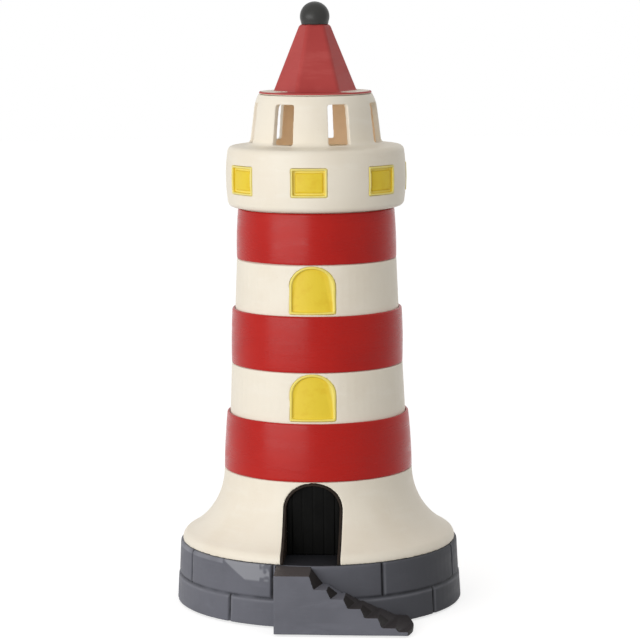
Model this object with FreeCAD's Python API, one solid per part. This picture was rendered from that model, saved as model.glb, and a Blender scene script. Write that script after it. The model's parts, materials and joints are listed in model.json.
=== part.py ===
import FreeCAD, Part
import math
import os

# Garden lighthouse light: a hollow moulded tower on a stone-look plinth, with an electric lamp inside.
# Frame: origin on the tower's axis at the ground, +Z up, the door and stairs face -Y. Millimetres.
# Fixed pieces: plinth, stairs, tower, red sleeves, window panes, door, base plate and lamp stand.
# The top (gallery and lantern moulding, its panes, roof and ball) lifts off the tower's spigot,
# and the bulb unscrews upwards out of its holder.

V = FreeCAD.Vector
UP = V(0, 0, 1)
ORIGIN = V(0, 0, 0)

# ---------------------------------------------------------------- fits
PRESS_GAP = 0.1         # radial gap of a glued, screwed or pushed-on piece
LIFT_GAP = 0.3          # radial gap between the spigot and the gallery that lifts off it
THREAD_GAP = 0.1        # radial gap between the bulb's cap and its screw shell
SEAT_GAP = 0.3          # upright gap below the gallery where it only shadows the sleeve

# ---------------------------------------------------------------- base
RIM_GAP = 1.0           # ground to the plinth's rim
PAD_T = 2.0             # foam pad that the light rests on
PAD_MARGIN = 2.0        # pad's edge to the screw heads
PLATE_T = 3.0
PLATE_GAP = 0.2
GASKET_T = 1.5
GASKET_W = 1.8
LEDGE_W = 2.9           # step inside the plinth that the gasket seals against
BASE_SCREW_COUNT = 4
BASE_SCREW_DEG = 45.0
BASE_SCREW_R = 1.75
BASE_SCREW_HEAD_R = 3.4
BASE_SCREW_HEAD_H = 1.7
BASE_SCREW_LEN = 12.0
BOSS_R = 4.8
BOSS_SINK = 0.2         # the bosses run this far into the plinth's wall
PILOT_SPARE = 0.8       # a blind hole goes this far past its screw's tip

# ---------------------------------------------------------------- plinth
PLINTH_R = 79.4         # lower course at the rim
PLINTH_H = 33.2
PLINTH_DRAFT = 1.8      # each course leans in by this over the full height
PLINTH_SHOULDER = 1.2
PLINTH_RIM_WALL = 4.0
COURSE_SPLIT = 15.0     # rim to the joint between the two stone courses
COURSE_STEP = 0.4       # upper course stands back by this
JOINT_R = 0.9           # radius of the rounded mortar joints
UPPER_STONES = 8
UPPER_STONE_DEG = -14.5
LOWER_STONES = 8
LOWER_STONE_DEG = -33.5
DECK_T = 3.5
DECK_LEDGE = 13.0       # the deck reaches this far in past the tower's foot
UPSTAND_H = 3.0         # ring on the deck that centres the tower
UPSTAND_W = 2.4

# ---------------------------------------------------------------- stairs
STAIR_LEFT_X = -17.2
STAIR_FRONT = 91.0      # top of the front face, ahead of the axis
STAIR_BATTER = 3.0      # the front face leans out by this at its foot
STAIR_WALL = 3.0
LANDING_FALL = 2.2      # the landing drops by this from the deck to its front edge
FIRST_RISER_X = 1.9
STEP_GO = 9.1
STEP_COUNT = 5          # treads between the landing and the toe
FIRST_RISE = 6.9
STEP_RISE = 4.9
TOE_RISE = 2.1
RISER_FOOT = 1.7        # a riser's foot stands out by this at the front face
RISER_FOOT_BACK = 8.2   # and by this from the plinth inwards
RISER_FAN = 72.0        # ahead of the axis, where the risers stop fanning out
TOE_LENGTH = 4.6
TOE_BULGE = 2.6
POCKET_DEPTH = 3.9      # the landing end sits this deep in the plinth
POCKET_RIGHT_X = 1.5
POCKET_FLOOR = 3.5      # above the plinth's ledge

# ---------------------------------------------------------------- tower
FOOT_W = 19.0           # width of the ring that the tower stands on
FOOT_BORE_H = 4.5       # height of the foot's straight bore
FOOT_EDGE = 5.5         # rounding that the flare runs into at the foot's outer edge
FLARE_H = 40.3
FLARE_ARC_R = 39.5
FLARE_TOP_R = 52.3
BAND_LOW_H = 31.8
LOW_WHITE_R = 48.7      # foot of the lower white ring
LOW_WHITE_TOP_R = 47.5
LOW_WHITE_H = 27.0
BAND_MID_H = 30.7
HIGH_WHITE_R = 45.3     # foot of the upper white ring
HIGH_WHITE_TOP_R = 44.2
HIGH_WHITE_H = 27.3
BAND_TOP_H = 28.3
NECK_R = 43.2           # outside of the top sleeve, just below the gallery
WALL = 3.0
BAND_T = 1.6
BAND_PROUD = 1.7        # a sleeve's top edge stands out from the white ring above it
BAND_CROWN = 0.35
BAND_TOP_ROUND = 0.9
BAND_FOOT_ROUND = 0.35
SPIGOT_SHOULDER = 2.0
SPIGOT_H = 8.0
SPIGOT_WALL = 2.2
KEY_W = 4.0             # lug on the spigot that points the gallery's windows forward
KEY_T = 1.4
KEY_H = 5.0
KEY_GAP = 0.4
TOWER_SCREW_COUNT = 4
TOWER_SCREW_DEG = 30.0
TOWER_SCREW_INSET = 3.0     # its head stays this far from the plinth's inner wall
TOWER_SCREW_R = 1.75
TOWER_SCREW_HEAD_R = 3.5
TOWER_SCREW_HEAD_H = 2.4
TOWER_SCREW_BITE = 6.0  # thread in the tower's foot

# ---------------------------------------------------------------- door and arched windows
FRONT_X = 1.0           # door and arched windows stand this far towards +X
DOOR_W = 31.8
DOOR_RISE = 14.3        # arch above its springing
DOOR_HEAD = 0.6         # gap between the arch and the lower sleeve
DOOR_FACE = 49.6        # planks' face, ahead of the axis
DOOR_T = 2.6
LINING_T = 1.4
LINING_BEHIND = 1.5     # the lining runs on behind the door
PLANK_PITCH = 5.9
PLANK_GROOVES = 5
GROOVE_R = 0.45
WINDOW_W = 24.8
WINDOW_RISE = 10.9
WINDOW_SILL = 0.9       # gap above the sleeve below
WINDOW_HEAD = 0.7       # gap below the sleeve above
PANE_EDGE = 0.5         # a pane's rim, flush with the wall
PANE_SLOPE = 0.7        # from the rim in to the face's border
PANE_DISH = 1.4         # depth of a pane's face below the wall

# ---------------------------------------------------------------- gallery and lantern room
GALLERY_R = 49.7
GALLERY_BARREL = 0.9    # the gallery's wall swells by this at mid height
GALLERY_H = 33.4
GALLERY_ROUND = 3.6
GALLERY_WALL = 3.4
GALLERY_FLOOR_T = 3.0
COLLAR_T = 2.4
DECK_SLOPE = 1.5
LANTERN_R = 36.2        # foot of its straight wall
LANTERN_BEND_R = 34.0
LANTERN_TOP_R = 31.3
LANTERN_FILLET = 3.0
LANTERN_STRAIGHT = 18.2
LANTERN_CROWN = 8.6     # height of the rounded stretch below the roof
LANTERN_CROWN_IN = 0.34     # its middle curves in by this from the wall's slope
LANTERN_WALL = 3.3
OPENING_COUNT = 7       # gallery windows, and lantern slots between them
GALLERY_WINDOW_W = 19.6
GALLERY_WINDOW_H = 15.4
GALLERY_WINDOW_SILL = 8.6   # above the gallery's underside
PANEL_INSET = 1.6       # raised panel inside a gallery pane's rim
PANEL_SLOPE = 0.9
PANEL_H = 0.9           # above the pane's face
SLOT_DEG = 19.4
SLOT_ROUND = 0.8
SLOT_H = 21.5
SLOT_SILL = 0.5         # above the lantern wall's foot
SLOT_STRAYS = {3: -3.0, 4: -2.0}    # degrees by which hand-cut slots stray from their even pitch

# ---------------------------------------------------------------- roof and ball
BRIM_SETBACK = 0.3      # brim's edge inside the lantern's top edge
BRIM_T = 1.6
BRIM_ROUND = 0.5
ROOF_SIDES = 6
ROOF_DEG = 8.0          # degrees, one face looks this far to +X of the front
ROOF_R = 23.4           # corner radius at the brim
ROOF_TIP_R = 8.8
ROOF_H = 36.4
ROOF_WALL = 3.2
ROOF_TIP_T = 4.5
RIDGE_ROUND = 3.0
TIP_ROUND = 2.8
ROOF_RIM_T = 2.2
ROOF_RIM_H = 4.0
BALL_R = 8.2
BALL_SEAT = 4.0         # ball's centre above its flat seat
FINIAL_SCREW_R = 2.0
FINIAL_SCREW_BITE = 7.5
FINIAL_HEAD_R = 3.5
FINIAL_HEAD_H = 2.6

# ---------------------------------------------------------------- bulb and lampholder
BULB_LEN = 78.0
BULB_BELOW_SLOTS = 12.0     # top of the bulb below the lantern slots' sills
GLOBE_R = 22.5
GLOBE_WALL = 1.2
GLOBE_MOUTH_R = 13.5    # the globe is cut open here and stands on the collar
COLLAR_LIP = 0.6        # the collar stands out from the globe's mouth
COLLAR_LOW_R = 8.0
CAP_R = 6.95
CAP_H = 17.5
CAP_WALL = 0.5
CONTACT_H = 3.0
CONTACT_R = 2.4
CONTACT_INSET = 2.0     # the contact's insulator reaches this far up into the cap
SHELL_T = 0.5           # brass screw shell in the holder
SHELL_H = 16.0
TONGUE_T = 0.6
TONGUE_W = 5.0
CORE_R = 11.0
CORE_T = 7.0
HOLDER_R = 14.0
HOLDER_SKIRT_WALL = 1.8
HOLDER_SKIRT_H = 24.0
HOLDER_BASE_H = 20.0
HOLDER_LIP_GAP = 0.8    # around the bulb's cap
HOLDER_LIP_T = 1.8
HUB_R = 7.5
HUB_H = 8.0
HUB_FLARE_H = 6.0
HUB_BULGE = 1.0         # the flare between hub and holder bulges out by this
HOLDER_EDGE = 1.0       # rounding of the skirt's top edge

# ---------------------------------------------------------------- lamp stand and wiring
STEM_R = 5.0
STEM_BORE_R = 4.0
NUT_AF = 14.0
NUT_H = 4.0
WASHER_T = 1.0
WASHER_R = 9.5
STEM_PAST_NUT = 1.0
BRIDGE_W = 26.0
BRIDGE_SPAN = 60.0      # over its legs
BRIDGE_H = 27.0
BRIDGE_T = 2.0
BRIDGE_BEND = 1.8       # outer radius of its two upper bends
BRIDGE_FOOT = 14.0
BRIDGE_SCREW_R = 2.0
BRIDGE_SCREW_HEAD_R = 3.8
BRIDGE_SCREW_HEAD_H = 2.4
BRIDGE_SCREW_BITE = 2.4
LEAD_R = 2.2
LEAD_BEND_R = 14.5
LEAD_RISE = 0.8         # lead above the base plate
BLOCK_L = 18.0
BLOCK_W = 20.0
BLOCK_H = 7.5
BLOCK_TO_WALL = 16.5    # its rear stays this far from the plinth's inner wall
BLOCK_TOWER_R = 3.6
BLOCK_TOWER_H = 5.5
BLOCK_PITCH = 9.5
BLOCK_BORE_R = 1.7
TERMINAL_SCREW_R = 1.6
TERMINAL_SCREW_LEN = 5.0
TERMINAL_SCREW_DROP = 0.6

# ---------------------------------------------------------------- cable gland
GLAND_RISE = 17.0       # above the plinth's rim
GLAND_R = 6.0           # thread through the wall
GLAND_BORE_R = 4.0
GLAND_FLAT = 2.4        # spot face, cut this deep in the plinth
GLAND_FLANGE_AF = 15.0
GLAND_FLANGE_H = 4.0
GLAND_NOSE_R = 5.7
GLAND_NOSE_H = 7.0
GLAND_NOSE_WALL = 1.0
GLAND_CAP_R = 7.4
GLAND_CAP_END = 1.8
GLAND_CAP_MOUTH_R = 3.6
GLAND_CAP_ROUND = 1.5
GLAND_RIBS = 12
GLAND_RIB_R = 0.8
SEAL_BORE_R = 3.0
LOCKNUT_AF = 17.0
LOCKNUT_H = 3.5
GLAND_TAIL = 2.0        # thread past the locknut

# ---------------------------------------------------------------- levels, from the ground up
z_rim = RIM_GAP
z_split = z_rim + COURSE_SPLIT
z_plate = PAD_T
z_plate_top = z_plate + PLATE_T
z_ledge = z_plate_top + GASKET_T
z_deck = z_rim + PLINTH_H
z_deck_under = z_deck - DECK_T
z_flare_top = z_deck + FLARE_H
z_low_white = z_flare_top + BAND_LOW_H
z_low_white_top = z_low_white + LOW_WHITE_H
z_high_white = z_low_white_top + BAND_MID_H
z_high_white_top = z_high_white + HIGH_WHITE_H
z_gallery = z_high_white_top + BAND_TOP_H
z_gallery_top = z_gallery + GALLERY_H
z_lantern = z_gallery_top + DECK_SLOPE
z_slot = z_lantern + SLOT_SILL
z_bend = z_lantern + LANTERN_STRAIGHT
z_brim = z_bend + LANTERN_CROWN
z_roof = z_brim + BRIM_T
z_tip = z_roof + ROOF_H
z_ball = z_tip + BALL_SEAT

# the lamp's levels hang from the slots, so that the bulb stays out of sight below them
z_bulb_top = z_slot - BULB_BELOW_SLOTS
z_globe = z_bulb_top - GLOBE_R
z_contact = z_bulb_top - BULB_LEN
z_cap = z_contact + CONTACT_H
z_cap_top = z_cap + CAP_H
z_bulb_collar_top = z_globe - math.sqrt(GLOBE_R ** 2 - GLOBE_MOUTH_R ** 2)
z_core_top = z_contact - TONGUE_T
z_core = z_core_top - CORE_T
z_skirt = z_core_top - CORE_T / 2
z_skirt_top = z_skirt + HOLDER_SKIRT_H
z_holder = z_skirt - HOLDER_BASE_H
z_stem_top = z_holder + HUB_H

# the lamp stand's levels go up from the base plate
z_bridge_top = z_plate_top + BRIDGE_H
z_bridge_under = z_bridge_top - BRIDGE_T
z_under_nut = z_bridge_under - WASHER_T - NUT_H
z_stem = z_under_nut - STEM_PAST_NUT
z_lead = z_plate_top + LEAD_RISE + LEAD_R
z_gland = z_rim + GLAND_RISE

# ---------------------------------------------------------------- radii that pieces share
ledge_r = PLINTH_R - PLINTH_RIM_WALL
plate_r = ledge_r - PLATE_GAP
plinth_bore_r = ledge_r - LEDGE_W
gasket_r = ledge_r - PRESS_GAP
boss_pcr = plinth_bore_r - BOSS_R + BOSS_SINK
pad_r = boss_pcr - BASE_SCREW_HEAD_R - PAD_MARGIN
tower_screw_pcr = plinth_bore_r - TOWER_SCREW_HEAD_R - TOWER_SCREW_INSET
block_front = plinth_bore_r - BLOCK_TO_WALL - BLOCK_L
course_r = PLINTH_R - COURSE_STEP
deck_edge_r = course_r - PLINTH_DRAFT
foot_r = deck_edge_r - PLINTH_SHOULDER
foot_bore_r = foot_r - FOOT_W
deck_hole_r = foot_bore_r - DECK_LEDGE
pocket_r = course_r - POCKET_DEPTH
seat_low_r = FLARE_TOP_R - BAND_T
seat_mid_r = LOW_WHITE_TOP_R - BAND_T
seat_top_r = HIGH_WHITE_TOP_R - BAND_T
neck_seat_r = NECK_R - BAND_T
spigot_r = neck_seat_r - SPIGOT_SHOULDER
spigot_bore_r = spigot_r - SPIGOT_WALL
gallery_bore_r = spigot_r + LIFT_GAP
gallery_edge_r = GALLERY_R - GALLERY_BARREL
lantern_bore_r = LANTERN_TOP_R - LANTERN_WALL
brim_r = LANTERN_TOP_R - BRIM_SETBACK
shell_bore_r = CAP_R + THREAD_GAP
cap_plug_r = CAP_R - CAP_WALL - PRESS_GAP
gland_face = course_r - GLAND_FLAT
opening_step = 360.0 / OPENING_COUNT


# ---------------------------------------------------------------- helpers
def xz(radius, z):
    return V(radius, 0, z)


def turned(shape, degrees):
    """A copy turned about the tower's axis; a positive turn takes the front towards +X."""
    copy = shape.copy()
    copy.rotate(ORIGIN, UP, degrees)
    return copy


def ring_of(shape, count, start=0.0):
    return [turned(shape, start + 360.0 * k / count) for k in range(count)]


def fused(shapes):
    return shapes[0].multiFuse(shapes[1:]).removeSplitter()


def revolved(path):
    """Solid of revolution. The path holds points and, for an arc, its (middle, end); it closes itself."""
    edges = []
    here = path[0]
    for item in path[1:] + [path[0]]:
        end = item[1] if isinstance(item, tuple) else item
        if isinstance(item, tuple):
            edges.append(Part.Arc(here, item[0], end).toShape())
        elif here.distanceToPoint(end) > 1e-6:
            edges.append(Part.LineSegment(here, end).toShape())
        here = end
    solid = Part.Face(Part.Wire(edges)).revolve(ORIGIN, UP, 360)
    if solid.Volume < 0:
        solid.reverse()
    return solid


def rounded(before, point, after, radius):
    """Rounded corner of a path: the point where it starts, and its (middle, end)."""
    back = (before - point).normalize()
    ahead = (after - point).normalize()
    half = back.getAngle(ahead) / 2
    reach = radius / math.tan(half)
    middle = point + (back + ahead).normalize() * (radius / math.sin(half) - radius)
    return point + back * reach, (middle, point + ahead * reach)


def post(radius, z0, z1, x=0.0, y=0.0):
    return Part.makeCylinder(radius, z1 - z0, V(x, y, z0))


def rod_back(radius, y0, y1, z, x=0.0):
    """Round bar that lies along Y."""
    return Part.makeCylinder(radius, y1 - y0, V(x, y0, z), V(0, 1, 0))


def tube(outer, inner, z0, z1):
    return post(outer, z0, z1).cut(post(inner, z0 - 1, z1 + 1))


def frustum(r0, r1, z0, z1):
    return revolved([xz(0, z0), xz(r0, z0), xz(r1, z1), xz(0, z1)])


def block(x0, x1, y0, y1, z0, z1):
    return Part.makeBox(x1 - x0, y1 - y0, z1 - z0, V(x0, y0, z0))


def prism(sides, radius, z0, z1, first=0.0):
    """Upright regular prism from its corner radius; first is the direction of one corner, from +X."""
    corners = []
    for k in range(sides + 1):
        angle = math.radians(first + 360.0 * k / sides)
        corners.append(V(radius * math.cos(angle), radius * math.sin(angle), z0))
    return Part.Face(Part.makePolygon(corners)).extrude(V(0, 0, z1 - z0))


def corner_r(across_flats):
    return across_flats / 2 / math.cos(math.radians(30))


def hexagon(across_flats, z0, z1):
    return prism(6, corner_r(across_flats), z0, z1)


def laid_back(shape, y, z):
    """Takes a shape built up the Z axis and lays it along +Y, from y, at height z."""
    shape.rotate(ORIGIN, V(1, 0, 0), -90)
    shape.translate(V(0, y, z))
    return shape


def half_ellipse(half, rise):
    """Upper half of an ellipse about the origin in the XY plane, from +X round to -X."""
    if rise <= half:
        return Part.Arc(Part.Ellipse(ORIGIN, half, rise), 0, math.pi).toShape()
    tall = Part.Arc(Part.Ellipse(ORIGIN, rise, half), -math.pi / 2, math.pi / 2).toShape()
    tall.rotate(ORIGIN, UP, 90)
    return tall


def arch_wire(width, z0, z1, rise, ahead):
    """Upright outline ahead of the axis: straight sides under a half-ellipse."""
    half = width / 2
    spring = z1 - rise
    crown = half_ellipse(half, rise)
    crown.rotate(ORIGIN, V(1, 0, 0), 90)
    crown.translate(V(FRONT_X, -ahead, spring))
    left = FRONT_X - half
    right = FRONT_X + half
    sides = Part.makePolygon([V(left, -ahead, spring), V(left, -ahead, z0), V(right, -ahead, z0),
                              V(right, -ahead, spring)])
    return Part.Wire(crown.Edges + sides.Edges)


def arch_block(width, z0, z1, rise, near, far):
    """Arched prism that runs from near to far, ahead of the axis."""
    return Part.Face(arch_wire(width, z0, z1, rise, far)).extrude(V(0, far - near, 0))


def save(node, *solids):
    shape = solids[0] if len(solids) == 1 else Part.makeCompound(solids)
    shape.exportStep("parts/" + node + ".step")


# ---------------------------------------------------------------- plinth
def course_lean(z):
    """How far the courses' face has leaned in at a height."""
    return PLINTH_DRAFT * (z - z_rim) / PLINTH_H


def courses(grow):
    """Two solid stone courses, the upper one set back."""
    edge, rounding = rounded(xz(course_r + grow, z_rim), xz(deck_edge_r + grow, z_deck),
                             xz(0, z_deck), PLINTH_SHOULDER)
    upper = revolved([xz(0, z_rim), xz(course_r + grow, z_rim), edge, rounding, xz(0, z_deck)])
    lower = frustum(PLINTH_R + grow, PLINTH_R + grow - course_lean(z_split), z_rim, z_split)
    return upper.fuse(lower)


def upright_joints(count, start, rim_r, z0, z1):
    """Mortar joints that lie on a course's leaning face, whose radius at the rim is given."""
    lean = V(0, PLINTH_DRAFT, PLINTH_H)
    foot = V(0, course_lean(z0) - rim_r, z0)
    joint = Part.makeCylinder(JOINT_R, lean.Length * (z1 - z0) / PLINTH_H, foot, lean)
    return ring_of(joint, count, start)


def mortar_joints():
    level = Part.makeTorus(PLINTH_R - course_lean(z_split) - COURSE_STEP / 2, JOINT_R, V(0, 0, z_split))
    joints = [level]
    joints += upright_joints(UPPER_STONES, UPPER_STONE_DEG, course_r, z_split, z_deck + 1)
    joints += upright_joints(LOWER_STONES, LOWER_STONE_DEG, PLINTH_R, z_rim - 1, z_split)
    return joints


def landing_pocket(gap):
    """Recess in the plinth's front that holds the landing end of the stairs."""
    floor = z_ledge + POCKET_FLOOR - gap
    recess = block(STAIR_LEFT_X - gap, POCKET_RIGHT_X + gap, -2 * PLINTH_R, 0, floor, z_deck + 1)
    return recess.cut(post(pocket_r - gap, floor - 1, z_deck + 2))


def tower_screw_holes(radius, z1):
    return ring_of(post(radius, z_deck_under - 1, z1, 0, -tower_screw_pcr), TOWER_SCREW_COUNT, TOWER_SCREW_DEG)


def plinth():
    hollow = revolved([xz(0, z_rim - 1), xz(ledge_r, z_rim - 1), xz(ledge_r, z_ledge),
                       xz(plinth_bore_r, z_ledge), xz(plinth_bore_r, z_deck_under), xz(0, z_deck_under)])
    ring_r = foot_bore_r - PRESS_GAP
    upstand = tube(ring_r, ring_r - UPSTAND_W, z_deck - DECK_T / 2, z_deck + UPSTAND_H)
    doorway = block(FRONT_X - DOOR_W / 2 - 1, FRONT_X + DOOR_W / 2 + 1, -PLINTH_R, 0, z_deck,
                    z_deck + 2 * UPSTAND_H)
    boss = post(BOSS_R, z_plate_top, z_deck - DECK_T / 2, 0, -boss_pcr)
    bosses = ring_of(boss, BASE_SCREW_COUNT, BASE_SCREW_DEG)
    shell = fused([courses(0).cut(hollow), upstand.cut(doorway)] + bosses)

    pilot = post(BASE_SCREW_R + PRESS_GAP, z_plate, z_plate + BASE_SCREW_LEN + PILOT_SPARE, 0, -boss_pcr)
    gland_hole = rod_back(GLAND_R + PRESS_GAP, plinth_bore_r / 2, 2 * PLINTH_R, z_gland)
    spot_face = rod_back(corner_r(GLAND_FLANGE_AF) + LIFT_GAP, gland_face, 2 * PLINTH_R, z_gland)
    cuts = mortar_joints() + [gland_hole, spot_face, post(deck_hole_r, z_deck_under - 1, z_deck + 1)]
    cuts += ring_of(pilot, BASE_SCREW_COUNT, BASE_SCREW_DEG)
    cuts += tower_screw_holes(TOWER_SCREW_R + PRESS_GAP, z_deck + 1)
    return shell.cut(cuts).cut(landing_pocket(PRESS_GAP))


# ---------------------------------------------------------------- stairs
def flight_outline(ahead, landing_z, lean):
    """Side view of the flight at one distance ahead of the axis, from its left foot over the steps."""
    points = [V(STAIR_LEFT_X, -ahead, z_rim), V(STAIR_LEFT_X, -ahead, landing_z)]
    z = landing_z
    for k in range(STEP_COUNT + 1):
        x = FIRST_RISER_X + STEP_GO * k
        points.append(V(x, -ahead, z))
        z = z_deck - LANDING_FALL - FIRST_RISE - STEP_RISE * k
        if k == STEP_COUNT:
            z += STEP_RISE - TOE_RISE
        points.append(V(x + lean, -ahead, z))
    toe_x = FIRST_RISER_X + STEP_GO * STEP_COUNT + RISER_FOOT + TOE_LENGTH + TOE_BULGE
    points += [V(toe_x, -ahead, z), V(toe_x, -ahead, z_rim)]
    return Part.makePolygon(points + [points[0]])


def toe_plan():
    """Everything left of the toe's rounded end, seen from above."""
    front = STAIR_FRONT + STAIR_BATTER + 1
    x = FIRST_RISER_X + STEP_GO * STEP_COUNT + RISER_FOOT + TOE_LENGTH
    back = PLINTH_R - 2 * STEP_GO
    nose = Part.Arc(V(x, -front, 0), V(x + TOE_BULGE, -(2 * front + back) / 3, 0), V(x - 1, -back, 0))
    start = V(x, -front, 0)
    sides = Part.makePolygon([V(x - 1, -back, 0), V(x - 1, 0, 0), V(STAIR_LEFT_X, 0, 0),
                              V(STAIR_LEFT_X, -front, 0), start])
    return Part.Face(Part.Wire([nose.toShape()] + sides.Edges)).extrude(V(0, 0, z_deck + 1))


def stair_block():
    far = STAIR_FRONT + STAIR_BATTER
    near = pocket_r - 2 * STEP_GO
    front = flight_outline(far, z_deck - LANDING_FALL, RISER_FOOT)
    middle = flight_outline(RISER_FAN, z_deck, RISER_FOOT_BACK)
    back = flight_outline(near, z_deck, RISER_FOOT_BACK)
    flight = Part.makeLoft([front, middle, back], True, True).common(toe_plan())
    if flight.Volume < 0:
        flight.reverse()
    lean = math.degrees(math.atan2(STAIR_BATTER, PLINTH_H))
    face = block(-2 * PLINTH_R, 2 * PLINTH_R, -2 * PLINTH_R, 0, -PLINTH_R, 2 * PLINTH_R)
    face.rotate(ORIGIN, V(1, 0, 0), -lean)
    face.translate(V(0, -far, z_rim))
    flight = flight.cut(face)

    hollow = flight.copy()
    hollow.translate(V(-STAIR_WALL, STAIR_WALL, -STAIR_WALL))
    inside = block(STAIR_LEFT_X + STAIR_WALL, 2 * PLINTH_R, -2 * PLINTH_R, 0, -PLINTH_R, 2 * PLINTH_R)
    plinth_space = courses(PRESS_GAP).cut(landing_pocket(0))
    return flight.cut(hollow.common(inside)).cut(plinth_space)


# ---------------------------------------------------------------- tower
def tower_path():
    """Outside of the tower from its foot to its shoulder: flare, sleeve seats and white rings."""
    flare_centre = xz(FLARE_TOP_R + FLARE_ARC_R, z_flare_top)
    edge_r = foot_r - FOOT_EDGE
    edge_drop = math.sqrt((FLARE_ARC_R + FOOT_EDGE) ** 2 - (flare_centre.x - edge_r) ** 2)
    edge_centre = xz(edge_r, z_flare_top - edge_drop)
    outward = (edge_centre - flare_centre).normalize()
    edge_top = flare_centre + outward * FLARE_ARC_R
    edge_low = edge_centre + xz(FOOT_EDGE, 0)
    edge_middle = edge_centre + (xz(1, 0) - outward).normalize() * FOOT_EDGE
    flare_r = (edge_top.x + FLARE_TOP_R) / 2
    flare_drop = math.sqrt(FLARE_ARC_R ** 2 - (flare_centre.x - flare_r) ** 2)
    return [xz(foot_r, z_deck), edge_low, (edge_middle, edge_top),
            (xz(flare_r, z_flare_top - flare_drop), xz(FLARE_TOP_R, z_flare_top)),
            xz(seat_low_r, z_flare_top), xz(LOW_WHITE_R, z_low_white),
            xz(LOW_WHITE_TOP_R, z_low_white_top), xz(seat_mid_r, z_low_white_top),
            xz(HIGH_WHITE_R, z_high_white), xz(HIGH_WHITE_TOP_R, z_high_white_top),
            xz(seat_top_r, z_high_white_top), xz(neck_seat_r, z_gallery)]


def tower_wall():
    """The tower as turned, before its openings are cut."""
    spigot_top = z_gallery + SPIGOT_H
    inside = [xz(spigot_r, z_gallery), xz(spigot_r, spigot_top), xz(spigot_bore_r, spigot_top),
              xz(spigot_bore_r, z_gallery - WALL), xz(seat_top_r - WALL, z_high_white_top),
              xz(HIGH_WHITE_R - WALL, z_high_white), xz(seat_mid_r - WALL, z_low_white_top),
              xz(LOW_WHITE_R - WALL, z_low_white), xz(seat_low_r - WALL, z_flare_top),
              xz(foot_bore_r, z_deck + FOOT_BORE_H), xz(foot_bore_r, z_deck)]
    return revolved(tower_path() + inside)


def tower_mass():
    return revolved([xz(0, z_deck)] + tower_path() + [xz(0, z_gallery)])


def key_lug(gap):
    """Lug at the rear of the spigot; with a gap it is the notch that drops over it."""
    half = KEY_W / 2 + gap
    reach = spigot_r + KEY_T + gap
    return block(-half, half, spigot_r - SPIGOT_WALL / 2, reach, z_gallery, z_gallery + KEY_H + gap)


def window_levels(foot, top):
    return foot + WINDOW_SILL, top - WINDOW_HEAD


def window_opening(foot, top, gap):
    z0, z1 = window_levels(foot, top)
    return arch_block(WINDOW_W - 2 * gap, z0 + gap, z1 - gap, WINDOW_RISE - gap, deck_hole_r / 2, 2 * PLINTH_R)


def window_pane(foot, top, foot_radius, top_radius):
    """Plug of coloured resin in an arched opening: a flush rim round a face that lies deeper."""
    z0, z1 = window_levels(foot, top)
    edge = PRESS_GAP + PANE_EDGE
    inset = edge + PANE_SLOPE
    outer = arch_wire(WINDOW_W - 2 * edge, z0 + edge, z1 - edge, WINDOW_RISE - edge, foot_radius)
    inner = arch_wire(WINDOW_W - 2 * inset, z0 + inset, z1 - inset, WINDOW_RISE - inset, foot_radius - 2 * PANE_DISH)
    dish = Part.makeLoft([outer, inner], True, True)
    dish = dish.cut(frustum(foot_radius - PANE_DISH, top_radius - PANE_DISH, foot, top))
    return tower_wall().common(window_opening(foot, top, PRESS_GAP)).cut(dish)


def door_top():
    return z_flare_top - DOOR_HEAD


def tower_shell():
    doorway = arch_block(DOOR_W, z_deck - 1, door_top(), DOOR_RISE, deck_hole_r / 2, 2 * PLINTH_R)
    cuts = [doorway, window_opening(z_low_white, z_low_white_top, 0),
            window_opening(z_high_white, z_high_white_top, 0)]
    cuts += tower_screw_holes(TOWER_SCREW_R + PRESS_GAP, z_deck + TOWER_SCREW_BITE + PILOT_SPARE)
    return tower_wall().fuse(key_lug(0)).cut(cuts)


def sleeve(z0, z1, seat_foot_r, seat_top_radius, foot_radius, top_radius):
    """Red sleeve that slides down the tower onto a ledge: flush at its foot, proud at its top."""
    inner_foot = xz(seat_foot_r + PRESS_GAP, z0)
    inner_top = xz(seat_top_radius + PRESS_GAP, z1)
    foot = xz(foot_radius, z0)
    top = xz(top_radius, z1)
    middle = (foot + top) * 0.5 + xz(BAND_CROWN, 0)
    foot_start, foot_round = rounded(inner_foot, foot, middle, BAND_FOOT_ROUND)
    top_start, top_round = rounded(middle, top, inner_top, BAND_TOP_ROUND)
    crown = (foot_round[1] + top_start) * 0.5 + xz(BAND_CROWN, 0)
    return revolved([inner_foot, foot_start, foot_round, (crown, top_start), top_round, inner_top])


# ---------------------------------------------------------------- door
def door_lining():
    width = DOOR_W - 2 * PRESS_GAP
    top = door_top() - PRESS_GAP
    rise = DOOR_RISE - PRESS_GAP
    near = DOOR_FACE - DOOR_T - LINING_BEHIND
    outer = arch_block(width, z_deck, top, rise, near, 2 * PLINTH_R)
    inner = arch_block(width - 2 * LINING_T, z_deck - 1, top - LINING_T, rise - LINING_T, 0, 3 * PLINTH_R)
    return outer.cut(inner).common(tower_mass())


def door_panel():
    inset = 2 * PRESS_GAP + LINING_T
    leaf = arch_block(DOOR_W - 2 * inset, z_deck, door_top() - inset, DOOR_RISE - inset,
                      DOOR_FACE - DOOR_T, DOOR_FACE)
    grooves = []
    for k in range(PLANK_GROOVES):
        x = FRONT_X + PLANK_PITCH * (k - (PLANK_GROOVES - 1) / 2)
        grooves.append(post(GROOVE_R, z_deck - 1, z_flare_top, x, -DOOR_FACE))
    return leaf.cut(grooves)


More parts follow.
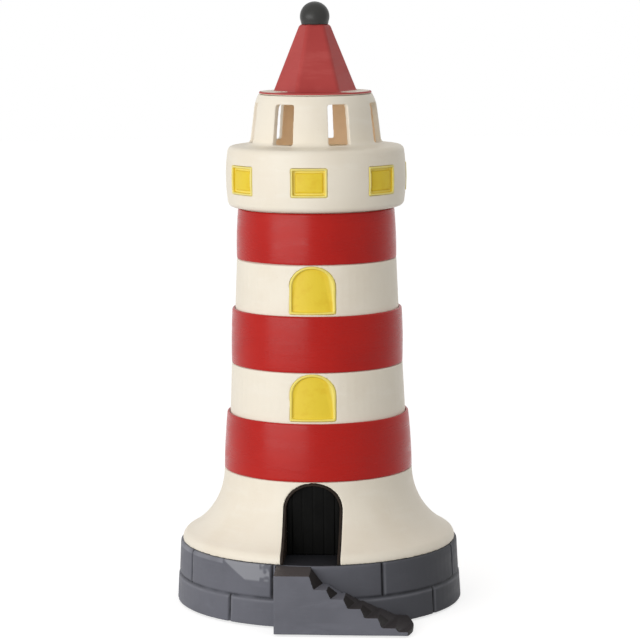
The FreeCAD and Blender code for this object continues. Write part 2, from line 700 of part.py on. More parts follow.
# ---------------------------------------------------------------- gallery and lantern room
def gallery_lantern_wall():
    """One moulding: the gallery with its floor and collar, its deck, and the lantern room's wall."""
    edge_low = xz(gallery_edge_r, z_gallery)
    edge_high = xz(gallery_edge_r, z_gallery_top)
    lantern_foot = xz(LANTERN_R, z_lantern)
    bend = xz(LANTERN_BEND_R, z_bend)
    low_start, low_round = rounded(xz(0, z_gallery), edge_low, edge_high, GALLERY_ROUND)
    high_start, high_round = rounded(edge_low, edge_high, lantern_foot, GALLERY_ROUND)
    foot_start, foot_round = rounded(edge_high, lantern_foot, bend, LANTERN_FILLET)
    swell = xz(GALLERY_R, (z_gallery + z_gallery_top) / 2)
    top = xz(LANTERN_TOP_R, z_brim)
    slope = (bend - lantern_foot).normalize()
    crown = bend + slope * (LANTERN_CROWN / 2) - xz(LANTERN_CROWN_IN, 0)

    wall_r = gallery_edge_r - GALLERY_WALL
    z_floor = z_gallery + GALLERY_FLOOR_T
    z_collar = z_gallery + SPIGOT_H
    inside = [xz(lantern_bore_r, z_brim), xz(LANTERN_BEND_R - LANTERN_WALL, z_bend),
              xz(LANTERN_R - LANTERN_WALL, z_lantern), xz(LANTERN_R - LANTERN_WALL, z_lantern - GALLERY_WALL),
              xz(wall_r - GALLERY_ROUND, z_gallery_top - GALLERY_WALL),
              xz(wall_r, z_gallery_top - GALLERY_WALL - GALLERY_ROUND), xz(wall_r, z_floor),
              xz(gallery_bore_r + COLLAR_T, z_floor), xz(gallery_bore_r + COLLAR_T, z_collar),
              xz(gallery_bore_r, z_collar), xz(gallery_bore_r, z_gallery)]
    return revolved([low_start, low_round, (swell, high_start), high_round, foot_start, foot_round,
                     bend, (crown, top)] + inside)


def gallery_window_block(inset, near, far):
    z0 = z_gallery + GALLERY_WINDOW_SILL
    half = GALLERY_WINDOW_W / 2 - inset
    return block(-half, half, -far, -near, z0 + inset, z0 + GALLERY_WINDOW_H - inset)


def gallery_window_rim(inset, ahead):
    z0 = z_gallery + GALLERY_WINDOW_SILL + inset
    z1 = z_gallery + GALLERY_WINDOW_SILL + GALLERY_WINDOW_H - inset
    half = GALLERY_WINDOW_W / 2 - inset
    return Part.makePolygon([V(-half, -ahead, z0), V(half, -ahead, z0), V(half, -ahead, z1),
                             V(-half, -ahead, z1), V(-half, -ahead, z0)])


def gallery_panes():
    """One pane for each window of the gallery: a flush rim, a deeper face and a raised panel in it."""
    edge = PRESS_GAP + PANE_EDGE
    face_r = gallery_edge_r - PANE_DISH
    plug = gallery_lantern_wall().common(gallery_window_block(PRESS_GAP, gallery_bore_r, 2 * GALLERY_R))
    rim = gallery_window_rim(edge, GALLERY_R + PANE_EDGE)
    floor = gallery_window_rim(edge + PANE_SLOPE, face_r - PANE_DISH)
    dish = Part.makeLoft([rim, floor], True, True).cut(post(face_r, z_gallery, z_lantern))
    panel_foot = gallery_window_rim(edge + PANEL_INSET, face_r - PANE_DISH)
    panel_top = gallery_window_rim(edge + PANEL_INSET + PANEL_SLOPE, GALLERY_R)
    panel = Part.makeLoft([panel_foot, panel_top], True, True).common(post(face_r + PANEL_H, z_gallery, z_lantern))
    return ring_of(fused([plug.cut(dish), panel]), OPENING_COUNT)


def lantern_slot():
    """Wedge whose jambs point at the axis, so that the slot's sides follow the lantern wall."""
    half = math.radians(SLOT_DEG / 2)
    near = lantern_bore_r / 2
    far = GALLERY_R
    corners = [V(near * math.sin(a), -near * math.cos(a), z_slot) for a in (-half, half)]
    corners += [V(far * math.sin(a), -far * math.cos(a), z_slot) for a in (half, -half)]
    wedge = Part.Face(Part.makePolygon(corners + [corners[0]])).extrude(V(0, 0, SLOT_H))
    return wedge.makeFillet(SLOT_ROUND, [e for e in wedge.Edges if e.Length > far / 2])


def gallery_lantern():
    window = gallery_window_block(0, gallery_bore_r + COLLAR_T + 1, 2 * GALLERY_R)
    cuts = ring_of(window, OPENING_COUNT) + [key_lug(KEY_GAP)]
    for k in range(OPENING_COUNT):
        cuts.append(turned(lantern_slot(), opening_step * (k + 0.5) + SLOT_STRAYS.get(k, 0)))
    return gallery_lantern_wall().cut(cuts)


# ---------------------------------------------------------------- roof
def pyramid(foot_r, tip_r, z0, z1):
    """Tapered hexagon whose first face looks ROOF_DEG degrees to +X of the front."""
    first = -90 + ROOF_DEG + 180.0 / ROOF_SIDES
    foot = prism(ROOF_SIDES, foot_r, z0, z0 + 1, first).Faces
    tip = prism(ROOF_SIDES, tip_r, z1, z1 + 1, first).Faces
    wires = [face.OuterWire for face in foot + tip if face.BoundBox.ZLength < 0.01]
    low = min(wires, key=lambda wire: wire.BoundBox.ZMin)
    high = [wire for wire in wires if abs(wire.BoundBox.ZMin - z1) < 0.01][0]
    return Part.makeLoft([low, high], True, True)


def roof():
    hip = pyramid(ROOF_R, ROOF_TIP_R, z_roof, z_tip)
    ridges = [e for e in hip.Edges if e.BoundBox.ZLength > ROOF_H / 2]
    hip = hip.makeFillet(RIDGE_ROUND, ridges)
    tip_edges = [e for e in hip.Edges if e.BoundBox.ZMin > z_tip - 0.01]
    hip = hip.makeFillet(TIP_ROUND, tip_edges)

    edge, rounding = rounded(xz(brim_r, z_brim), xz(brim_r, z_roof), xz(0, z_roof), BRIM_ROUND)
    brim = revolved([xz(0, z_brim), xz(brim_r, z_brim), edge, rounding, xz(0, z_roof)])
    rim_r = lantern_bore_r - PRESS_GAP
    rim = tube(rim_r, rim_r - ROOF_RIM_T, z_brim - ROOF_RIM_H, z_brim + BRIM_T / 2)

    taper = (ROOF_R - ROOF_TIP_R) / ROOF_H
    z_cavity = z_tip - ROOF_TIP_T
    foot_r = ROOF_R - ROOF_WALL + taper * (z_roof - z_brim + 1)
    cavity = pyramid(foot_r, ROOF_TIP_R - ROOF_WALL + taper * ROOF_TIP_T, z_brim - 1, z_cavity)
    hole = post(FINIAL_SCREW_R + PRESS_GAP, z_cavity - 1, z_tip + 1)
    return fused([brim, rim, hip]).cut([cavity, hole])


def ball_finial():
    ball = Part.makeSphere(BALL_R, V(0, 0, z_ball)).common(post(2 * BALL_R, z_tip, z_tip + 3 * BALL_R))
    hole = post(FINIAL_SCREW_R + PRESS_GAP, z_tip - 1, z_tip + FINIAL_SCREW_BITE + PILOT_SPARE)
    return ball.cut(hole)


def finial_screw():
    z_head = z_tip - ROOF_TIP_T
    head = post(FINIAL_HEAD_R, z_head - FINIAL_HEAD_H, z_head)
    return head.fuse(post(FINIAL_SCREW_R, z_head - FINIAL_HEAD_H / 2, z_tip + FINIAL_SCREW_BITE)).removeSplitter()


# ---------------------------------------------------------------- base plate, its seals and screws
def base_plate():
    head = frustum(BASE_SCREW_HEAD_R + PRESS_GAP, BASE_SCREW_R + PRESS_GAP, z_plate, z_plate + BASE_SCREW_HEAD_H)
    hole = head.fuse(post(BASE_SCREW_R + PRESS_GAP, z_plate - 1, z_plate_top + 1))
    hole.translate(V(0, -boss_pcr, 0))
    cuts = ring_of(hole, BASE_SCREW_COUNT, BASE_SCREW_DEG)
    z_tip_hole = z_plate_top - BRIDGE_SCREW_BITE - PRESS_GAP
    for x in bridge_screw_places():
        cuts.append(post(BRIDGE_SCREW_R + PRESS_GAP, z_tip_hole, z_plate_top + 1, x))
    return post(plate_r, z_plate, z_plate_top).cut(cuts)


def base_screws():
    head = frustum(BASE_SCREW_HEAD_R, BASE_SCREW_R, z_plate, z_plate + BASE_SCREW_HEAD_H)
    shank = post(BASE_SCREW_R, z_plate + BASE_SCREW_HEAD_H / 2, z_plate + BASE_SCREW_LEN)
    screw = head.fuse(shank).removeSplitter()
    screw.translate(V(0, -boss_pcr, 0))
    return ring_of(screw, BASE_SCREW_COUNT, BASE_SCREW_DEG)


def tower_screws():
    head = post(TOWER_SCREW_HEAD_R, z_deck_under - TOWER_SCREW_HEAD_H, z_deck_under)
    shank = post(TOWER_SCREW_R, z_deck_under - TOWER_SCREW_HEAD_H / 2, z_deck + TOWER_SCREW_BITE)
    screw = head.fuse(shank).removeSplitter()
    screw.translate(V(0, -tower_screw_pcr, 0))
    return ring_of(screw, TOWER_SCREW_COUNT, TOWER_SCREW_DEG)


# ---------------------------------------------------------------- lamp stand
def bridge_screw_places():
    middle = BRIDGE_SPAN / 2 + BRIDGE_FOOT / 2
    return [-middle, middle]


def bridge_bracket():
    """Steel strap bent into a bridge over the lead, with a foot on each side."""
    half = BRIDGE_SPAN / 2
    wide = BRIDGE_W / 2
    top = block(-half, half, -wide, wide, z_bridge_under, z_bridge_top)
    legs = [block(-half, BRIDGE_T - half, -wide, wide, z_plate_top, z_bridge_top),
            block(half - BRIDGE_T, half, -wide, wide, z_plate_top, z_bridge_top)]
    feet = [block(-half - BRIDGE_FOOT, BRIDGE_T - half, -wide, wide, z_plate_top, z_plate_top + BRIDGE_T),
            block(half - BRIDGE_T, half + BRIDGE_FOOT, -wide, wide, z_plate_top, z_plate_top + BRIDGE_T)]
    strap = fused([top] + legs + feet)
    bends = [e for e in strap.Edges
             if e.BoundBox.YLength > wide and abs(abs(e.Vertexes[0].X) - half) < 0.01
             and e.BoundBox.ZMin > z_bridge_top - 0.01]
    strap = strap.makeFillet(BRIDGE_BEND, bends)
    holes = [post(STEM_R + PRESS_GAP, z_bridge_under - 1, z_bridge_top + 1)]
    holes += [post(BRIDGE_SCREW_R + PRESS_GAP, z_plate, z_plate_top + BRIDGE_T + 1, x)
              for x in bridge_screw_places()]
    return strap.cut(holes)


def bridge_screws():
    z_head = z_plate_top + BRIDGE_T
    screws = []
    for x in bridge_screw_places():
        head = post(BRIDGE_SCREW_HEAD_R, z_head, z_head + BRIDGE_SCREW_HEAD_H, x)
        shank = post(BRIDGE_SCREW_R, z_plate_top - BRIDGE_SCREW_BITE, z_head + BRIDGE_SCREW_HEAD_H / 2, x)
        screws.append(head.fuse(shank).removeSplitter())
    return screws


def stem_nuts():
    """Below and above the bridge, and the locknut under the lampholder."""
    places = [z_under_nut, z_bridge_top + WASHER_T, z_holder - NUT_H]
    return [hexagon(NUT_AF, z, z + NUT_H).cut(post(STEM_R + PRESS_GAP, z - 1, z + NUT_H + 1)) for z in places]


def stem_washers():
    bore = STEM_R + PRESS_GAP
    return [tube(WASHER_R, bore, z, z + WASHER_T) for z in (z_bridge_under - WASHER_T, z_bridge_top)]


def inner_lead():
    """Two-core lead from the terminal block, under the bridge and up the stem to the holder's core."""
    level = Part.LineSegment(V(0, block_front, z_lead), V(0, LEAD_BEND_R, z_lead))
    dip = LEAD_BEND_R * (1 - math.cos(math.radians(45)))
    bend = Part.Arc(V(0, LEAD_BEND_R, z_lead), V(0, dip, z_lead + dip), V(0, 0, z_lead + LEAD_BEND_R))
    rise = Part.LineSegment(V(0, 0, z_lead + LEAD_BEND_R), V(0, 0, z_core))
    path = Part.Wire([level.toShape(), bend.toShape(), rise.toShape()])
    section = Part.Wire(Part.Circle(V(0, block_front, z_lead), V(0, 1, 0), LEAD_R).toShape())
    return path.makePipeShell([section], True, False)


def terminal_places():
    middle = block_front + BLOCK_L / 2
    half = BLOCK_PITCH / 2
    return [(x, y) for x in (-half, half) for y in (middle - half, middle + half)]


def terminal_block():
    """Two-pole screw connector: a bar with a round tower over each clamp."""
    rear = block_front + BLOCK_L
    bar = block(-BLOCK_W / 2, BLOCK_W / 2, block_front, rear, z_plate_top, z_plate_top + BLOCK_H)
    z_top = z_plate_top + BLOCK_H + BLOCK_TOWER_H
    towers = [post(BLOCK_TOWER_R, z_plate_top + BLOCK_H / 2, z_top, x, y) for x, y in terminal_places()]
    cuts = [post(TERMINAL_SCREW_R + PRESS_GAP, z_top - TERMINAL_SCREW_DROP - TERMINAL_SCREW_LEN, z_top + 1, x, y)
            for x, y in terminal_places()]
    cuts += [rod_back(BLOCK_BORE_R, block_front - 1, rear + 1, z_plate_top + BLOCK_H / 2, x)
             for x in (-BLOCK_PITCH / 2, BLOCK_PITCH / 2)]
    return fused([bar] + towers).cut(cuts)


def terminal_screws():
    z_top = z_plate_top + BLOCK_H + BLOCK_TOWER_H - TERMINAL_SCREW_DROP
    return [post(TERMINAL_SCREW_R, z_top - TERMINAL_SCREW_LEN, z_top, x, y) for x, y in terminal_places()]


# ---------------------------------------------------------------- lampholder
def holder_base():
    core_r = CORE_R + PRESS_GAP
    z_flare = z_holder + HUB_H + HUB_FLARE_H
    bend = xz((HUB_R + HOLDER_R) / 2 + HUB_BULGE, (z_holder + HUB_H + z_flare) / 2 - HUB_BULGE)
    return revolved([xz(STEM_R + PRESS_GAP, z_holder), xz(HUB_R, z_holder),
                     xz(HUB_R, z_holder + HUB_H - HUB_BULGE),
                     (bend, xz(HOLDER_R, z_flare)), xz(HOLDER_R, z_skirt), xz(core_r, z_skirt),
                     xz(core_r, z_core), xz(core_r - HOLDER_SKIRT_WALL, z_core),
                     xz(STEM_R + PRESS_GAP, z_stem_top)])


def holder_skirt():
    lip_r = CAP_R + HOLDER_LIP_GAP
    inside = HOLDER_R - HOLDER_SKIRT_WALL
    corner = xz(HOLDER_R, z_skirt_top)
    edge, rounding = rounded(xz(HOLDER_R, z_skirt), corner, xz(lip_r, z_skirt_top), HOLDER_EDGE)
    return revolved([xz(inside, z_skirt), xz(HOLDER_R, z_skirt), edge, rounding, xz(lip_r, z_skirt_top),
                     xz(lip_r, z_skirt_top - HOLDER_LIP_T), xz(inside, z_skirt_top - HOLDER_LIP_T)])


def centre_tongue():
    return block(-TONGUE_W / 2, TONGUE_W / 2, -shell_bore_r / 2, shell_bore_r / 2, z_core_top, z_contact)


# ---------------------------------------------------------------- bulb
def bulb_cap():
    return revolved([xz(CAP_R - CAP_WALL, z_cap), xz(CAP_R, z_cap), xz(CAP_R, z_cap_top),
                     xz(CAP_R - CAP_WALL, z_cap_top)])


def bulb_contact():
    """Insulator that closes the cap, down to the solder pip in its middle."""
    z_top = z_cap + CONTACT_INSET
    return revolved([xz(0, z_contact), xz(CONTACT_R, z_contact), xz(CONTACT_R, z_contact + CONTACT_H / 3),
                     xz(cap_plug_r, z_cap), xz(cap_plug_r, z_top), xz(0, z_top)])


def bulb_collar():
    """Heat sink between the cap and the globe, with a plug that holds the cap."""
    z_plug = z_cap + CONTACT_INSET + PRESS_GAP
    top_r = GLOBE_MOUTH_R + COLLAR_LIP
    bend = xz((COLLAR_LOW_R + top_r) / 2 - COLLAR_LIP, (z_cap_top + z_bulb_collar_top) / 2)
    return revolved([xz(0, z_plug), xz(cap_plug_r, z_plug), xz(cap_plug_r, z_cap_top), xz(COLLAR_LOW_R, z_cap_top),
                     (bend, xz(top_r, z_bulb_collar_top)), xz(0, z_bulb_collar_top)])


def bulb_globe():
    ball = Part.makeSphere(GLOBE_R, V(0, 0, z_globe)).cut(Part.makeSphere(GLOBE_R - GLOBE_WALL, V(0, 0, z_globe)))
    return ball.common(post(2 * GLOBE_R, z_bulb_collar_top, z_bulb_top + 1))


# ---------------------------------------------------------------- cable gland
def gland_body():
    """Hex flange outside, threaded tail through the wall, and a nose that holds the seal."""
    tail = locknut_face() - LOCKNUT_H - GLAND_TAIL
    flange = laid_back(hexagon(GLAND_FLANGE_AF, 0, GLAND_FLANGE_H), gland_face, z_gland)
    thread = rod_back(GLAND_R, tail, gland_face + GLAND_FLANGE_H / 2, z_gland)
    z_nose = gland_face + GLAND_FLANGE_H
    nose = rod_back(GLAND_NOSE_R, z_nose - GLAND_FLANGE_H / 2, z_nose + GLAND_NOSE_H, z_gland)
    bore = rod_back(GLAND_BORE_R, tail - 1, z_nose + GLAND_NOSE_H + 1, z_gland)
    socket = rod_back(GLAND_NOSE_R - GLAND_NOSE_WALL, z_nose, z_nose + GLAND_NOSE_H + 1, z_gland)
    return fused([flange, thread, nose]).cut([bore, socket])


def gland_cap():
    """Ribbed dome nut that squeezes the seal."""
    y0 = gland_face + GLAND_FLANGE_H + SEAT_GAP
    y1 = gland_face + GLAND_FLANGE_H + GLAND_NOSE_H + PRESS_GAP + GLAND_CAP_END
    length = y1 - y0
    radius = GLAND_CAP_R - GLAND_RIB_R / 2
    edge, rounding = rounded(xz(radius, 0), xz(radius, length), xz(0, length), GLAND_CAP_ROUND)
    hood = revolved([xz(0, 0), xz(radius, 0), edge, rounding, xz(0, length)])
    rib = post(GLAND_RIB_R, 0, length - GLAND_CAP_ROUND, 0, GLAND_CAP_R - GLAND_RIB_R)
    hood = fused([hood] + ring_of(rib, GLAND_RIBS))
    hood = hood.cut([post(GLAND_NOSE_R + PRESS_GAP, -1, length - GLAND_CAP_END),
                     post(GLAND_CAP_MOUTH_R, 0, length + 1)])
    return laid_back(hood, y0, z_gland)


def gland_seal():
    y0 = gland_face + GLAND_FLANGE_H
    outer = rod_back(GLAND_NOSE_R - GLAND_NOSE_WALL - PRESS_GAP, y0, y0 + GLAND_NOSE_H, z_gland)
    return outer.cut(rod_back(SEAL_BORE_R, y0 - 1, y0 + GLAND_NOSE_H + 1, z_gland))


def locknut_face():
    """Where a flat nut with corners first meets the plinth's round inner wall."""
    return math.sqrt(plinth_bore_r ** 2 - corner_r(LOCKNUT_AF) ** 2)


def gland_locknut():
    disc = hexagon(LOCKNUT_AF, 0, LOCKNUT_H).cut(post(GLAND_R + PRESS_GAP, -1, LOCKNUT_H + 1))
    return laid_back(disc, locknut_face() - LOCKNUT_H, z_gland)


# ---------------------------------------------------------------- write the pieces
os.makedirs("parts", exist_ok=True)

save("foot_pad", post(pad_r, 0, z_plate))
save("base_plate", base_plate())
save("base_screws", *base_screws())
save("base_gasket", tube(gasket_r, gasket_r - GASKET_W, z_plate_top, z_ledge))
save("plinth", plinth())
save("stair_block", stair_block())

save("tower_shell", tower_shell())
save("tower_screws", *tower_screws())
save("red_sleeve_lower", sleeve(z_flare_top, z_low_white, seat_low_r, LOW_WHITE_R, FLARE_TOP_R,
                                LOW_WHITE_R + BAND_PROUD))
save("red_sleeve_middle", sleeve(z_low_white_top, z_high_white, seat_mid_r, HIGH_WHITE_R, LOW_WHITE_TOP_R,
                                 HIGH_WHITE_R + BAND_PROUD))
save("red_sleeve_upper", sleeve(z_high_white_top, z_gallery - SEAT_GAP, seat_top_r, neck_seat_r,
                                HIGH_WHITE_TOP_R, NECK_R))
save("window_pane_lower", window_pane(z_low_white, z_low_white_top, LOW_WHITE_R, LOW_WHITE_TOP_R))
save("window_pane_upper", window_pane(z_high_white, z_high_white_top, HIGH_WHITE_R, HIGH_WHITE_TOP_R))
save("door_lining", door_lining())
save("door_panel", door_panel())

save("gallery_lantern", gallery_lantern())
save("gallery_window_panes", *gallery_panes())
save("roof", roof())
save("ball_finial", ball_finial())
save("finial_screw", finial_screw())

save("bridge_bracket", bridge_bracket())
save("bridge_screws", *bridge_screws())
save("stem_tube", post(STEM_R, z_stem, z_stem_top).cut(post(STEM_BORE_R, z_stem - 1, z_stem_top + 1)))
save("stem_nuts", *stem_nuts())
save("stem_washers", *stem_washers())
save("inner_lead", inner_lead())
save("terminal_block", terminal_block())
save("terminal_screws", *terminal_screws())

save("holder_base", holder_base())
save("holder_skirt", holder_skirt())
save("holder_core", post(CORE_R, z_core, z_core_top))
save("screw_shell", tube(shell_bore_r + SHELL_T, shell_bore_r, z_core_top, z_core_top + SHELL_H))
save("centre_tongue", centre_tongue())

save("bulb_cap", bulb_cap())
save("bulb_contact", bulb_contact())
save("bulb_collar", bulb_collar())
save("bulb_globe", bulb_globe())

save("gland_body", gland_body())
save("gland_cap", gland_cap())
save("gland_seal", gland_seal())
save("gland_locknut", gland_locknut())
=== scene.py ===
import bpy
import bmesh
import json
import math
from mathutils import Matrix, Vector, noise

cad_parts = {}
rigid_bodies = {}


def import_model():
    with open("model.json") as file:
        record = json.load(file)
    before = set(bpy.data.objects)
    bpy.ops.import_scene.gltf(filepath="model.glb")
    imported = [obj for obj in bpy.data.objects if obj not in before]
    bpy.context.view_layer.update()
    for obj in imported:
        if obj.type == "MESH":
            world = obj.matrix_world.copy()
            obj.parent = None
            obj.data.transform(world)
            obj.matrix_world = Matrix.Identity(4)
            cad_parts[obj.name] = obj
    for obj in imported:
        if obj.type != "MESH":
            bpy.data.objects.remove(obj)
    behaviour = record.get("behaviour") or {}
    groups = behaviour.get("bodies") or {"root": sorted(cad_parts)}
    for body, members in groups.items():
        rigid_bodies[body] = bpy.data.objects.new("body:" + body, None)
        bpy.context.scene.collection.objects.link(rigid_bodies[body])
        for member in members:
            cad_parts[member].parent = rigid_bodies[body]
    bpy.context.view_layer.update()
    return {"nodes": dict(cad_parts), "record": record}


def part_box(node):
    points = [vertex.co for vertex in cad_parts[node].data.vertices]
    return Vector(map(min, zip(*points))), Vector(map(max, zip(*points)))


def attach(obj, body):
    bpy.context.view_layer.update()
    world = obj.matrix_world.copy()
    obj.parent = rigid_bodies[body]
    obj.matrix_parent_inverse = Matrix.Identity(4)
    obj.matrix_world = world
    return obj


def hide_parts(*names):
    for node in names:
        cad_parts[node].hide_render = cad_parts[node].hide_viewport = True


# Garden lighthouse light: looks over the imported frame. Metres, +Z up, the door faces -Y.
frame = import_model()
scene = bpy.context.scene
MM = 0.001

# ---------------------------------------------------------------- colours and materials
GLOW = 0.8                  # emission of the bulb's globe, where 1 is the white of the background
GLOW_COLOR = (1.0, 0.95, 0.88, 1)
CLOUD_MM = 26               # painted pieces change their tone over about this length
STROKE_MM = 9
STROKE_STRETCH = (0.35, 0.35, 1.6)      # brush strokes run round the tower
SWELL_MM = 14
PIT_MM = 1.6
MIX_FACTOR = 0              # sockets of a Mix node that mixes colours
MIX_A = 6
MIX_B = 7
MIX_RESULT = 2


def srgb(r, g, b):
    """Linear colour of an 8-bit display colour."""
    out = []
    for v in (r, g, b):
        v = v / 255.0
        out.append(v / 12.92 if v <= 0.04045 else ((v + 0.055) / 1.055) ** 2.4)
    return (out[0], out[1], out[2], 1.0)


class Paint:
    """A procedural material. Colour layers are mixed by noise; heights add up into one bump."""

    def __init__(self, name, color, roughness, metallic, specular):
        self.mat = bpy.data.materials.new(name)
        self.mat.use_nodes = True
        self.nodes = self.mat.node_tree.nodes
        self.links = self.mat.node_tree.links
        self.bsdf = self.nodes["Principled BSDF"]
        self.bsdf.inputs["Metallic"].default_value = metallic
        self.bsdf.inputs["Specular IOR Level"].default_value = specular
        self.bsdf.inputs["Base Color"].default_value = color
        self.bsdf.inputs["Roughness"].default_value = roughness
        self.coords = self.nodes.new("ShaderNodeTexCoord").outputs["Object"]
        self.base = color
        self.color = None
        self.height = None

    def scaled(self, scale):
        node = self.nodes.new("ShaderNodeMapping")
        node.inputs["Scale"].default_value = scale
        self.links.new(self.coords, node.inputs["Vector"])
        return node.outputs["Vector"]

    def noise(self, size_mm, detail, rough, distortion=0.0, vector=None):
        """Noise with features of about size_mm."""
        node = self.nodes.new("ShaderNodeTexNoise")
        node.inputs["Scale"].default_value = 1000.0 / size_mm
        node.inputs["Detail"].default_value = detail
        node.inputs["Roughness"].default_value = rough
        node.inputs["Distortion"].default_value = distortion
        self.links.new(vector or self.coords, node.inputs["Vector"])
        return node.outputs["Fac"]

    def ramp(self, value, low, high, to_low, to_high):
        """Smooth step of a value from low..high to to_low..to_high."""
        node = self.nodes.new("ShaderNodeMapRange")
        node.interpolation_type = "SMOOTHSTEP"
        for key, v in (("From Min", low), ("From Max", high), ("To Min", to_low), ("To Max", to_high)):
            node.inputs[key].default_value = v
        self.links.new(value, node.inputs["Value"])
        return node.outputs["Result"]

    def math(self, kind, a, b):
        """A Math node. Its operands are numbers or sockets."""
        node = self.nodes.new("ShaderNodeMath")
        node.operation = kind
        for socket, v in zip(node.inputs, (a, b)):
            if isinstance(v, (int, float)):
                socket.default_value = v
            else:
                self.links.new(v, socket)
        return node.outputs["Value"]

    def attribute(self, name):
        """A number that was marked on the mesh, or 0 where it wasn't."""
        node = self.nodes.new("ShaderNodeAttribute")
        node.attribute_name = name
        return node.outputs["Fac"]

    def layer(self, color, factor):
        """Lays a colour over what is there, as strongly as the factor says."""
        node = self.nodes.new("ShaderNodeMix")
        node.data_type = "RGBA"
        self.links.new(factor, node.inputs[MIX_FACTOR])
        if self.color is None:
            node.inputs[MIX_A].default_value = self.base
        else:
            self.links.new(self.color, node.inputs[MIX_A])
        node.inputs[MIX_B].default_value = color
        self.color = node.outputs[MIX_RESULT]
        self.links.new(self.color, self.bsdf.inputs["Base Color"])

    def roughness(self, value, low, high):
        self.links.new(self.ramp(value, 0.3, 0.7, low, high), self.bsdf.inputs["Roughness"])

    def relief(self, value, depth_mm):
        scaled = self.math("MULTIPLY", value, depth_mm * MM)
        self.height = scaled if self.height is None else self.math("ADD", self.height, scaled)

    def done(self):
        """Turns the heights into a bump and gives the material."""
        bump = self.nodes.new("ShaderNodeBump")
        bump.inputs["Strength"].default_value = 1.0
        bump.inputs["Distance"].default_value = 1.0
        self.links.new(self.height, bump.inputs["Height"])
        self.links.new(bump.outputs["Normal"], self.bsdf.inputs["Normal"])
        return self.mat


def brushed_paint(name, color, shade, light, roughness, specular, relief_mm=0.035, mottle=0.35):
    """Thick satin paint laid on by brush: cloudy tone, faint strokes round the tower, a few fine pits."""
    p = Paint(name, color, roughness, 0.0, specular)
    stroke = p.noise(STROKE_MM, 4, 0.6, 0.3, p.scaled(STROKE_STRETCH))
    p.layer(shade, p.ramp(p.noise(CLOUD_MM, 3, 0.5), 0.42, 0.72, 0.0, mottle))
    p.layer(light, p.ramp(stroke, 0.5, 0.75, 0.0, mottle * 0.8))
    p.roughness(stroke, roughness - 0.05, roughness + 0.07)
    p.relief(p.noise(SWELL_MM, 2, 0.5), relief_mm * 4.0)
    p.relief(stroke, relief_mm * 2.0)
    p.relief(p.noise(PIT_MM, 3, 0.6), relief_mm * 0.35)
    return p


def cream():
    """The tower's cream paint, with a few specks of dirt."""
    color = srgb(236, 228, 212)
    p = brushed_paint("cream_paint", color, srgb(226, 214, 194), srgb(242, 237, 226), 0.42, 0.22)
    p.layer(srgb(196, 180, 152), p.ramp(p.noise(1.1, 2, 0.5), 0.72, 0.8, 0.0, 0.35))
    return p.done()


def stone(name, color, shade, light):
    """Grey paint with painted highlights along the stones' edges and on a pale patch, painted shade on the
    side away from the lamp and on the floor under the door's arch, and nearly black in the mortar joints.
    """
    p = brushed_paint(name, color, shade, light, 0.5, 0.08, 0.05, 0.5)
    # painted shade on the plinth's side away from the lamp
    p.layer(srgb(70, 71, 75), p.attribute("painted_shade_side"))
    # painted highlight of the pale patch left of the stairs
    p.layer(srgb(140, 141, 147), p.attribute("highlight_patch"))
    # painted highlights beside the joints and on the shoulder below the tower, on the side facing the lamp
    p.layer(srgb(140, 141, 148), p.attribute("edge_highlight"))
    # nearly black in the mortar joints, and painted shade on the floor under the door's arch
    p.layer(srgb(14, 14, 15), p.attribute("joint_and_shade"))
    return p.done()


def yellow():
    """The window panes' paint, paler on their borders."""
    p = Paint("yellow_pane", srgb(230, 202, 58), 0.36, 0.0, 0.2)
    p.layer(srgb(222, 186, 44), p.ramp(p.noise(7, 3, 0.6), 0.45, 0.7, 0.0, 0.6))
    p.layer(srgb(238, 220, 112), p.attribute("pale"))
    p.layer(srgb(234, 220, 136), p.attribute("rim"))
    p.relief(p.noise(3.0, 3, 0.5), 0.08)
    return p.done()


def plain(name, color, shade, roughness, specular, grain_mm, relief_mm, mottle=0.4):
    """Plastic, rubber, foam, paint or bare casting: slight tone changes, a fine grain, uneven gloss."""
    p = Paint(name, color, roughness, 0.0, specular)
    p.layer(shade, p.ramp(p.noise(9, 3, 0.5), 0.4, 0.7, 0.0, mottle))
    p.roughness(p.noise(grain_mm * 4, 3, 0.6), max(roughness - 0.08, 0.05), min(roughness + 0.1, 1.0))
    p.relief(p.noise(grain_mm, 4, 0.6), relief_mm)
    return p.done()


def lit_opal():
    """The bulb's globe, lit, so that its light reaches the bare inside of the lantern room."""
    mat = plain("bulb_opal", srgb(242, 239, 232), srgb(232, 228, 218), 0.3, 0.4, 1.2, 0.004, 0.3)
    bsdf = mat.node_tree.nodes["Principled BSDF"]
    bsdf.inputs["Emission Color"].default_value = GLOW_COLOR
    bsdf.inputs["Emission Strength"].default_value = GLOW
    return mat


def brushed_metal(name, color, shade, roughness, stretch):
    """Bare or plated metal with fine scratches."""
    p = Paint(name, color, roughness, 1.0, 0.5)
    scratch = p.noise(0.8, 3, 0.6, 0.0, p.scaled(stretch))
    p.layer(shade, p.ramp(p.noise(6, 3, 0.55), 0.4, 0.7, 0.0, 0.5))
    p.roughness(scratch, roughness - 0.08, roughness + 0.12)
    p.relief(scratch, 0.006)
    return p.done()


